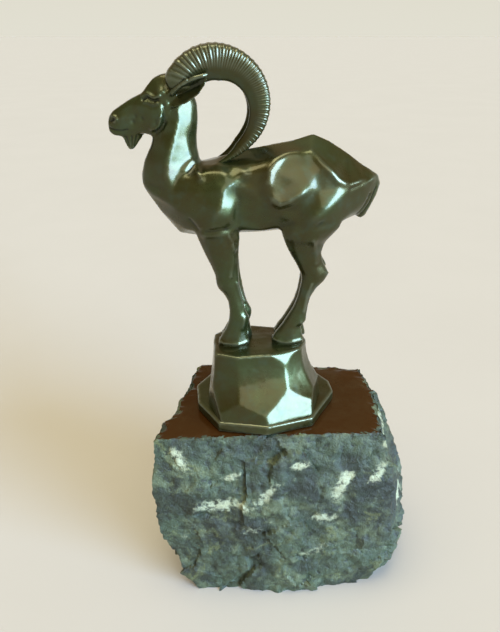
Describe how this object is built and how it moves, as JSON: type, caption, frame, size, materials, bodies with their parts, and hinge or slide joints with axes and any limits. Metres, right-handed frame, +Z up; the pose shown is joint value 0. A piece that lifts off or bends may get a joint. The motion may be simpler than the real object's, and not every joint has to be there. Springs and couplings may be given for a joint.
{
  "type": "ibex sculpture on a stone base",
  "caption": "Bronze ibex with ridged swept-back horns standing on a faceted bronze rock, bolted to a rough green stone block with a polished top.",
  "frame": {"origin": "under the middle of the object's bounding box, on the plane of the stone's underside", "axes": "+Z up through the ibex, -X the way the ibex faces, -Y its left side, which the picture shows"},
  "size_m": [0.1023, 0.0589, 0.1898],
  "materials": {
    "bronze": "dark olive brown patina, waxed to a gloss",
    "stone": "broken green-grey stone, polished on top",
    "fixing_steel": "zinc plated"
  },
  "bodies": {
    "root": {"ibex_casting": "bronze", "stone_block": "stone", "fixing_stud": "fixing_steel", "fixing_washer": "fixing_steel", "fixing_nut": "fixing_steel"}
  },
  "joints": []
}
